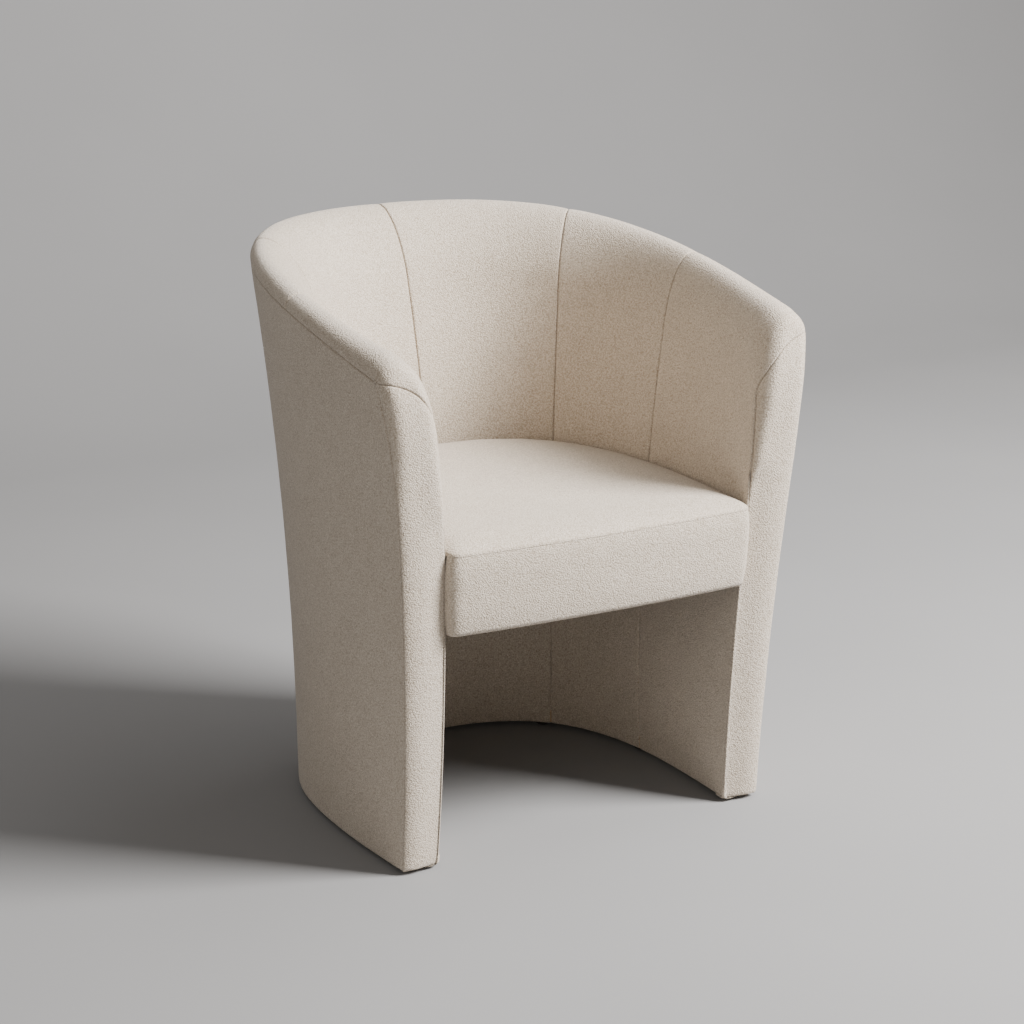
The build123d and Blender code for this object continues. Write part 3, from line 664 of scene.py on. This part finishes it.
class ArmEnd:
    """Rounded end of an arm: how far it bulges forward of the wall's own end, and the
    seam on it that parts the inner cover from the facing. Stated for the right arm."""

    def __init__(self):
        v = np.linspace(0, 1, 500)
        self.v = v
        inner = inner_point(front_station(inner_point, v, roll_setback(v)), v)
        self.inner_line = inner
        self.outer_line = outer_point(front_station(outer_point, v), v)
        self.outline = np.concatenate([self.outer_line, inner[::-1]])[:, [0, 2]]
        rounding = np.full(len(v), END_ROUNDING)
        crisp = CRISP_ROUNDING + (END_ROUNDING - CRISP_ROUNDING) * softening(v)
        self.rounding = np.concatenate([rounding, crisp[::-1]])
        self.setback = np.concatenate([0 * v, roll_setback(v)[::-1]])
        self.crisp_edge = inner[v < CRISP_SHARE + 0.1][:, [0, 2]]
        self.top = self.outer_line[-1][[0, 2]]
        self.join = inner[v >= FACE_SHARE][0][[0, 2]] + np.array([CORNER_WRAP, 0])

    def nearest(self, spots, edge):
        """Distance from each spot to a line of points, and the closest point's index."""
        parts = []
        for part in np.array_split(spots.reshape(-1, 1, 2), 8):
            far = np.linalg.norm(part - edge, axis=-1)
            parts.append(np.stack([far.min(1), far.argmin(1)], -1))
        both = np.concatenate(parts).reshape(*spots.shape[:-1], 2)
        index = both[..., 1].astype(int)
        far = both[..., 0]
        for first in (np.maximum(index - 1, 0), np.minimum(index, len(edge) - 2)):
            run = edge[first + 1] - edge[first]
            out = spots - edge[first]
            share = (out * run).sum(-1) / np.maximum((run * run).sum(-1), 1e-18)
            foot = run * np.clip(share, 0, 1)[..., None]
            far = np.minimum(far, np.linalg.norm(out - foot, axis=-1))
        return far, index

    def y(self, spots):
        """Where the rounded end lies, for spots (x, z) on it."""
        far, index = self.nearest(spots, self.outline)
        rim = np.minimum(far / self.rounding[index], 1)
        ease = smooth(self.nearest(spots, self.crisp_edge)[0] / INNER_EDGE_EASE)
        z = spots[..., 1]
        growth = smooth((z - BULGE_FROM) / (BULGE_TO - BULGE_FROM))
        bulge = (END_BULGE_LOW + (END_BULGE_HIGH - END_BULGE_LOW) * growth) * ease
        back = self.setback[index]
        return front_y(z) + back - (bulge + back) * np.sqrt(np.maximum(1 - (1 - rim) ** 2, 0))

    def surface(self, spots):
        return np.stack([spots[..., 0], self.y(spots), spots[..., 1]], -1)

    def normal(self, spots):
        tiny = 0.0006
        dx = self.y(spots + [tiny, 0]) - self.y(spots - [tiny, 0])
        dz = self.y(spots + [0, tiny]) - self.y(spots - [0, tiny])
        return unit(np.stack([dx, np.full_like(dx, -2 * tiny), dz], -1))

    def seam(self, v):
        """Seam of the facing, as (x, z), for the inner cover's v."""
        across = np.stack([np.interp(v, self.v, self.inner_line[:, k]) for k in (0, 2)], -1)
        low = across + np.array([CORNER_WRAP, 0])
        share = np.clip((v - FACE_SHARE) / (1 - FACE_SHARE), 0, 1)[..., None]
        up_from_join = self.join + np.array(SEAM_FROM_JOIN)
        in_from_top = self.top + np.array(SEAM_FROM_TOP)
        high = bezier_parts(self.join, up_from_join, in_from_top, self.top, share)
        return np.where(v[..., None] < FACE_SHARE, low, high)


arm_end = ArmEnd()

# shares of the way from the wall's side to the facing's seam, close at both ends
TO_SEAM = [0.01, 0.03, 0.06, 0.1, 0.16, 0.24, 0.34, 0.46, 0.6, 0.72, 0.82, 0.9, 0.95, 0.98, 1]
TO_SEAM = np.array(TO_SEAM)[:, None, None]


# ------------------------------------------------------------------ the covers


def hemmed(points, normals):
    """Adds the hem: the cover turns under the wall and runs in along its bottom."""
    inward = -normals[:, :1].copy()
    inward[..., 2] = 0
    inward = unit(inward)
    base = points[:, :1]
    turns = range(HEM_COUNT, -1, -1)
    rows = [base + inward * (HEM_RADIUS + HEM_TURN * k / HEM_COUNT) for k in turns]
    for angle in HEM_ANGLES:
        a = math.radians(angle)
        rise = np.array([0, 0, HEM_RADIUS * (1 - math.sin(a))])
        rows.append(base + inward * HEM_RADIUS * (1 - math.cos(a)) + rise)
    keep = points[..., 2].min(axis=0) > HEM_HEIGHT + HEM_RADIUS
    keep[0] = False
    added = np.repeat(normals[:, :1], len(rows), axis=1)
    points = np.concatenate(rows + [points[:, keep]], axis=1)
    return points, np.concatenate([added, normals[:, keep]], axis=1)


def v_steps(point_at, station):
    """Steps up a face, evenly spaced, with close ones at the top seam."""
    v = np.linspace(0, 1, 2001)
    p = point_at(np.full_like(v, station), v)
    run = np.r_[0, np.cumsum(spacing(p, 0))]
    return np.interp(seam_steps(run[-1], False, True) * run[-1], run, v)


INNER_STEPS = v_steps(inner_point, 0.5)
OUTER_STEPS = v_steps(outer_point, 0.5)


# rows near the hem that take their normals from the mesh, and a row above them
HEM_ROWS = 8
ABOVE_HEM = 12


def finish_cover(name, points, normals, seams, seed):
    shaped = sewn(points, normals, seams, seed)
    shaped, kept = hemmed(shaped, normals)
    hem = grid_normals(shaped)
    if (hem[:, ABOVE_HEM] * kept[:, ABOVE_HEM]).sum() < 0:
        hem = -hem
    kept[:, :HEM_ROWS] = hem[:, :HEM_ROWS]
    piece = cloth_panel(name, shaped, shaped - kept * CLOTH, boucle)
    declare_cover(piece, name)


def eased(points, at, v):
    """Rounds the bend that a panel makes at one of its sections, before its edge."""
    run = np.cumsum(spacing(points, 0), axis=0)
    run = np.concatenate([np.zeros_like(run[:1]), run])
    result = points.copy()
    wanted = END_EASE * (1 - TOP_EASE_LOSS * smooth((v - TOP_EASE_START) / TOP_EASE_FADE))
    for column, s in enumerate(run.T):
        reach = min(wanted[column], s[-1] - s[at])
        step = reach / 2 * np.maximum(1 - ((s - s[at]) / reach) ** 2, 0)
        for axis in range(3):
            line = points[:, column, axis]
            both = np.interp(s - step, s, line) + np.interp(s + step, s, line)
            result[:, column, axis] = both / 2
    return result


def onto_arm_end(points, normals, v):
    """Carries an inner cover on from the wall's side, round the arm end to its seam."""
    start = points[-1][:, [0, 2]]
    spots = start + (arm_end.seam(v) - start) * TO_SEAM
    end = arm_end.surface(spots)
    tangent = points[-1] - points[-2]
    tangent = tangent / -tangent[:, 1:2] * [1, 0, 1]
    end = end + tangent * (points[-1, :, 1:2] - end[..., 1:2]) * (1 - TO_SEAM) ** 2
    points = eased(np.concatenate([points, end]), len(points) - 1, v)
    return points, np.concatenate([normals, arm_end.normal(spots)])


def wall_panel(name, point_at, first, last, inward, seed):
    """One cover panel of the wall between two stations; past 1 means the arm front."""
    side = -1 if first + last < 0 else 1
    a, b = (first, last) if first * last < 0 else sorted((abs(first), abs(last)))
    v = INNER_STEPS if inward else OUTER_STEPS
    stop = np.full_like(v, b)
    if b > 1:
        stop = front_station(point_at, v, roll_setback(v) if inward else 0.0)
    u = seam_steps(wall.length * (float(stop.mean()) - a), True, not (b > 1 and inward))
    station = a + (stop[None, :] - a) * u[:, None]
    rows = np.broadcast_to(v, station.shape)
    points = point_at(station, rows)
    normals = surface_normals(point_at, station, rows, inward)
    if b > 1 and inward:
        points, normals = onto_arm_end(points, normals, v)
    if a * b >= 0 or side < 0:
        points = points * [side, 1, 1]
        normals = normals * [side, 1, 1]
    finish_cover(name, points, normals, [(0, False), (0, True), (1, True)], seed)


THIRD = 1 / 3
FRONT = 1.1
INNER_PANELS = {
    "inner_panel_left_front": (-FRONT, -2 * THIRD),
    "inner_panel_left_middle": (-2 * THIRD, -THIRD),
    "inner_panel_left_back": (-THIRD, 0),
    "inner_panel_right_back": (0, THIRD),
    "inner_panel_right_middle": (THIRD, 2 * THIRD),
    "inner_panel_right_front": (2 * THIRD, FRONT),
}
OUTER_PANELS = {
    "outer_panel_left": (-FRONT, -THIRD),
    "outer_panel_back": (-THIRD, THIRD),
    "outer_panel_right": (THIRD, FRONT),
}
SIDES = {"left": -1, "right": 1}


def make_wall_covers():
    for seed, (name, (first, last)) in enumerate(INNER_PANELS.items()):
        wall_panel(name, inner_point, first, last, True, seed)
    for seed, (name, (first, last)) in enumerate(OUTER_PANELS.items()):
        wall_panel(name, outer_point, first, last, False, seed + 10)


def facing_spots(u, v):
    """Spots (x, z) over the facing: u from the outer edge to its seam, v upward."""
    seam = arm_end.seam(v)
    share = np.clip((v - FACE_SHARE) / (1 - FACE_SHARE), 0, 1)
    above_join = arm_end.join[1] + (arm_end.top[1] - arm_end.join[1]) * share
    z = np.where(v < FACE_SHARE, seam[:, 1], above_join)
    outer = arm_end.outer_line
    edge = np.stack([np.interp(z, outer[:, 2], outer[:, 0]), z], -1)
    return edge + (seam - edge) * u[:, None, None]


def make_facing(side_name, side):
    """Cover of an arm end; beside its outer seam it stands square to the outer panel."""
    name = side_name + "_facing_cover"
    v = np.minimum(INNER_STEPS, FACING_TOP)
    spots = facing_spots(seam_steps(FACING_WIDTH, True, True), v)
    points = arm_end.surface(spots) * [side, 1, 1]
    normals = arm_end.normal(spots) * [side, 1, 1]
    edge = facing_spots(np.array([0.0]), v)[0]
    outer_v = (edge[:, 1] - HEM_HEIGHT) / (arm_end.top[1] - HEM_HEIGHT)
    normals[0] = surface_normals(outer_point, front_station(outer_point, outer_v), outer_v, False)
    normals[0] *= [side, 1, 1]
    finish_cover(name, points, normals, [(0, False), (0, True)], 20 + side)


# ------------------------------------------------------------------- the seat

EDGE_POINTS = 70
SOFTENINGS = 3
FRONT_CLEARANCE = 0.006


def seat_edge(z, inset, count):
    """Outline of the seat at a height: along the front, then round by the wall."""
    lean = SEAT_FRONT_LEAN * np.maximum(SEAT_SEAM - z, 0)
    x = np.linspace(1, -1, count) * (SEAT_HALF_WIDTH - inset)
    front = -SEAT_FRONT - SEAT_FRONT_BOW * (1 - (x / SEAT_HALF_WIDTH) ** 2) + lean + inset
    front = np.stack([x, front + SHIFT_Y], -1)
    reach = np.linspace(-1.1, 1.1, 601)
    by_wall = wall.place(reach, wall.inner(reach, z) - SEAT_CLEARANCE - inset, z)[:, :2]
    by_wall = by_wall[by_wall[:, 1] > front[0, 1] + FRONT_CLEARANCE]
    run = np.r_[0, np.cumsum(spacing(by_wall, 0))]
    even = np.linspace(0, run[-1], 3 * count)
    by_wall = np.stack([np.interp(even, run, by_wall[:, k]) for k in (0, 1)], -1)
    return front, by_wall


def closed_run(loop):
    """A loop with its first point repeated, and the distance along it to each point."""
    closed = np.concatenate([loop, loop[:1]])
    return closed, np.r_[0, np.cumsum(spacing(closed, 0))]


def rounded_outline(z, inset):
    """Even loop of points round the seat, with its front corners softened."""
    loop, run = closed_run(np.concatenate(seat_edge(z, inset, EDGE_POINTS)))
    even = np.linspace(0, run[-1], len(loop))[:-1]
    loop = np.stack([np.interp(even, run, loop[:, k]) for k in (0, 1)], -1)
    for _ in range(SOFTENINGS):
        loop = (np.roll(loop, 1, 0) + 2 * loop + np.roll(loop, -1, 0)) / 4
    return loop


SEAT_CENTRE = np.array([0, SHIFT_Y - 0.27])
LEAST_SHARE = 0.02


def seat_rings(z, inset, insets):
    """Rings inside the seat outline at given distances in from it, on one centre."""
    loop = rounded_outline(z, inset)
    out = loop - SEAT_CENTRE
    reach = np.linalg.norm(out, axis=-1, keepdims=True)
    return np.stack([SEAT_CENTRE + out * np.maximum(1 - d / reach, LEAST_SHARE) for d in insets])


def crowned(far):
    """Rise of the seat's top above its seam, by distance in from the seam."""
    rise = SEAT_TOP - SEAT_SEAM
    share = np.minimum(far / SEAT_CROWN_REACH, 1)
    return rise * (1 - (1 - share) ** 2) ** 0.75


def dome(inset, insets):
    """Rings over the crowned top of the seat, from its edge to near its middle."""
    rings = seat_rings(SEAT_SEAM, inset, insets)
    far = np.linalg.norm(rings - rings[:1], axis=-1)
    return np.concatenate([rings, (SEAT_SEAM + crowned(far))[..., None]], -1)


def disc(name, upper, lower, material):
    """Closed solid between two stacks of rings, joined at their outer edges."""
    return closed_tube(name, np.concatenate([upper[::-1], lower]), material)


DOME_INSETS = np.r_[NEAR_SEAM, np.arange(0.019, 0.20, 0.006), 0.21, 0.23, 0.26]


def make_seat_covers():
    """Crowned top cover, with slow waves away from its seam, and the upright bands."""
    top = dome(0.0, DOME_INSETS)
    far = np.linalg.norm(top - top[:1], axis=-1)
    pull = [[noise(Vector(p * SEAT_WAVE_SCALE)) for p in ring] for ring in top]
    top[..., 2] -= SEAM_DEPTH * np.exp(-((far / SEAM_WIDTH) ** 2))
    top[..., 2] += SEAT_WAVE * np.array(pull) * smooth(far / SEAT_WAVE_START)
    under = top - np.array([0, 0, CLOTH])
    inward = unit(top[..., :2] - SEAT_CENTRE) * CLOTH
    under[..., :2] -= inward * np.exp(-far / SEAT_EDGE_TURN)[..., None]
    piece = disc("seat_top_cover", top, under, boucle)
    stands_for(piece, "seat_top_cover")
    make_band("seat_front_band", True)
    make_band("seat_border", False)


# how far past the front's own width the band runs, and where the border takes over
BAND_START, BAND_END, BAND_COLUMNS = 0.010, 0.004, 150
BORDER_START, BORDER_END, BORDER_COLUMNS = 0.0065, 0.0125, 180


def make_band(name, front):
    """Upright cover of the seat: in front it is plump, round the back it is hidden."""
    v = seam_steps(SEAT_SEAM - SEAT_BOTTOM, False, True)
    z = SEAT_BOTTOM + (SEAT_SEAM - SEAT_BOTTOM) * v
    edge = 2 * SEAT_HALF_WIDTH * BAND_EDGE_SHARE
    lines = []
    for height in z:
        loop, run = closed_run(rounded_outline(float(height), 0.0))
        if front:
            at = np.linspace(-BAND_START, edge + BAND_END, BAND_COLUMNS)
        else:
            at = np.linspace(edge + BORDER_START, run[-1] - BORDER_END, BORDER_COLUMNS)
        at = at % run[-1]
        lines.append(np.stack([np.interp(at, run, loop[:, k]) for k in (0, 1)], -1))
    flat = np.array(lines).transpose(1, 0, 2)
    points = np.concatenate([flat, np.broadcast_to(z, flat.shape[:2])[..., None]], -1)
    outward = grid_normals(points)
    centre = np.array([*SEAT_CENTRE, (SEAT_SEAM + SEAT_BOTTOM) / 2])
    if ((points - centre) * outward).sum() < 0:
        outward = -outward
    if front:
        plump = 1 - np.abs(2 * v - 1) ** 3
        points = points + outward * (BAND_BULGE * plump)[None, :, None]
        points = sewn(points, outward, [(1, True)], 40)
    piece = cloth_panel(name, points, points - outward * CLOTH, boucle)
    declare_cover(piece, name)


# ----------------------------------------------------------- padding and linings


def flat_disc(name, low, high, inset, material):
    """Flat piece with the seat's outline, between two heights."""
    loop = rounded_outline(low, inset)
    levels = [np.concatenate([loop, np.full((len(loop), 1), z)], 1) for z in (low, high)]
    return closed_tube(name, np.array(levels), material)


def wall_tube(name, profile, last, material, count=90):
    """Closed ring section carried along the wall; the profile is (offset, z) by station."""
    loops = []
    for station in np.linspace(-last, last, count):
        x, z = profile(abs(station))
        loops.append(wall.place(np.full(len(x), station if station else 1e-9), x, z))
    return closed_tube(name, np.array(loops), material)


def foam_profile(station):
    """Section of the foam: up the inner face, over the roll, down behind the frame."""
    tight, broad = roll(station, FOAM_SKIN)
    seam = wall.read(wall.seam, station)
    start = seam - ROLL_START_DROP
    ledge = seam - FOAM_LEDGE_DROP
    face_z = np.linspace(FOAM_BOTTOM, start, 24)
    t = np.linspace(1, 0, 9)[1:]
    x = [wall.inner(station, face_z) + FOAM_SKIN]
    z = [face_z]
    for curve in (broad, tight):
        x.append(bezier_parts(*(p[0] for p in curve), t))
        z.append(bezier_parts(*(p[1] for p in curve), t))
    down_z = np.linspace(seam - LEDGE_START, ledge, 4)
    back_z = np.linspace(ledge, FOAM_BOTTOM, 20)
    x += [wall.outer(station, down_z) - FOAM_SKIN, wall.outer(station, back_z) - FOAM_DEPTH]
    z += [down_z, back_z]
    return np.concatenate(x), np.concatenate(z)


def wadding_profile(station):
    top = wall.read(wall.seam, station) - FOAM_LEDGE_DROP - PADDING_GAP
    z = np.linspace(WADDING_BOTTOM, top, 24)
    x = np.r_[wall.outer(station, z) - FOAM_SKIN, wall.outer(station, z[::-1]) - WADDING_BACK]
    return x, np.r_[z, z[::-1]]


def lining_profile(station):
    low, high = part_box("base_lining")[0][2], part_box("base_lining")[1][2]
    inner = wall.inner(station, low) + HEM_TURN
    outer = wall.outer(station, low) - HEM_TURN
    return np.array([inner, outer, outer, inner]), np.array([low, low, high, high])


def inner_end(short_by):
    """Station a little short of where the inner face ends at the floor."""
    return float(front_station(inner_point, np.array([0.0]))[0]) - short_by


def make_shell_padding():
    stop = inner_end(0.03)
    piece = stands_for(wall_tube("shell_foam", foam_profile, stop, foam), "shell_foam")
    piece = wall_tube("outer_wadding", wadding_profile, stop, felt)
    stands_for(piece, "outer_wadding")


def make_facing_pad(side_name, side):
    name = side_name + "_facing_pad"
    spots = facing_spots(np.linspace(0.12, 0.9, 8), np.linspace(0.02, 0.93, 40))
    face = arm_end.surface(spots) * [side, 1, 1]
    front, back = face + [0, PAD_FRONT, 0], face + [0, PAD_BACK, 0]
    stands_for(cloth_panel(name, front, back, foam), name)


def make_seat_foam():
    upper = dome(FOAM_SKIN, np.r_[0, 0.004, 0.01, 0.02, 0.04, 0.07, 0.12, 0.18, 0.26])
    upper[..., 2] -= FOAM_SKIN
    lower = upper[:1].copy()
    lower[..., 2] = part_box("seat_foam")[0][2]
    stands_for(disc("seat_foam", upper, lower, foam), "seat_foam")


def make_seat_felt():
    low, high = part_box("seat_felt")[0][2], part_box("seat_felt")[1][2]
    piece = flat_disc("seat_felt", low, high, FLAT_INSET, felt)
    stands_for(piece, "seat_felt")


def make_seat_front_pad():
    """Pad behind the front band, which leans with it."""
    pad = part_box("seat_front_pad")
    front, _ = seat_edge(SEAT_SEAM, FOAM_SKIN, 40)
    z = np.linspace(pad[0][2] + PADDING_GAP, pad[1][2] - PADDING_GAP / 2, 8)
    x, y = front[:, :1] + 0 * z, front[:, 1:] + SEAT_FRONT_LEAN * (SEAT_SEAM - z)
    face = np.stack([x, y, z + 0 * x], -1)
    piece = cloth_panel("seat_front_pad", face, face + [0, PAD_BACK - PAD_FRONT, 0], foam)
    stands_for(piece, "seat_front_pad")


def make_base_lining():
    stop = inner_end(0.025)
    piece = wall_tube("base_lining", lining_profile, stop, cambric)
    stands_for(piece, "base_lining")


def make_dust_cover():
    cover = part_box("seat_dust_cover")
    piece = flat_disc("seat_dust_cover", cover[0][2], cover[1][2], FLAT_INSET, cambric)
    stands_for(piece, "seat_dust_cover")


# ----------------------------------------------------------------- the camera


def aim(obj, target):
    """Turns a camera or light, whose own view is along -Z, to face a point."""
    direction = Vector(target) - obj.location
    obj.rotation_euler = direction.to_track_quat("-Z", "Y").to_euler()


def make_camera():
    """Long lens, to the sitter's right of straight ahead and a little above."""
    level = math.cos(ELEVATION)
    back = Vector((math.sin(AZIMUTH) * level, -math.cos(AZIMUTH) * level, math.sin(ELEVATION)))
    data = bpy.data.cameras.new("camera")
    data.sensor_width = 36
    data.lens = LENS
    camera = bpy.data.objects.new("camera", data)
    bpy.context.scene.collection.objects.link(camera)
    camera.location = Vector(TARGET) + back * DISTANCE
    aim(camera, TARGET)
    bpy.context.scene.camera = camera


def area_light(name, place, size, power, color):
    """Square light panel that faces the chair."""
    data = bpy.data.lights.new(name, "AREA")
    data.size = size
    data.energy = power
    data.color = color
    light = bpy.data.objects.new(name, data)
    bpy.context.scene.collection.objects.link(light)
    light.location = place
    aim(light, CHEST)


def make_studio():
    """Seamless grey floor and backdrop, a large key light on the right, and soft fill."""
    bend = SWEEP_DEPTH - SWEEP_RADIUS
    profile = [(SWEEP_START, 0.0), (bend, 0.0)]
    for step in range(1, SWEEP_STEPS + 1):
        a = math.radians(90 * step / SWEEP_STEPS)
        profile.append((bend + SWEEP_RADIUS * math.sin(a), SWEEP_RADIUS * (1 - math.cos(a))))
    profile.append((SWEEP_DEPTH, SWEEP_HEIGHT))
    ends = (-SWEEP_HALF_WIDTH, SWEEP_HALF_WIDTH)
    vertices = [(x, y, z) for x in ends for y, z in profile]
    count = len(profile)
    faces = [[i, i + count, i + count + 1, i + 1] for i in range(count - 1)]
    sweep = new_object("studio_sweep", np.array(vertices), faces, studio_grey())
    for name, light in LIGHTS.items():
        area_light(name, *light)
    world = bpy.data.worlds.new("studio")
    world.use_nodes = True
    sky = world.node_tree.nodes["Background"]
    sky.inputs["Color"].default_value = SKY_COLOR
    sky.inputs["Strength"].default_value = SKY_STRENGTH
    bpy.context.scene.world = world


def dress_frame():
    """Gives every carried-over CAD node the material of its slot."""
    slots = {row["node"]: row["material_slot"] for row in frame["record"]["subparts"]}
    for name, obj in frame["nodes"].items():
        obj.data.materials.clear()
        obj.data.materials.append(FRAME_MATERIALS[slots[name]])


make_camera()
make_studio()
dress_frame()
make_wall_covers()
for side_name, side in SIDES.items():
    make_facing(side_name, side)
make_seat_covers()
make_shell_padding()
for side_name, side in SIDES.items():
    make_facing_pad(side_name, side)
make_seat_foam()
make_seat_felt()
make_seat_front_pad()
make_base_lining()
make_dust_cover()
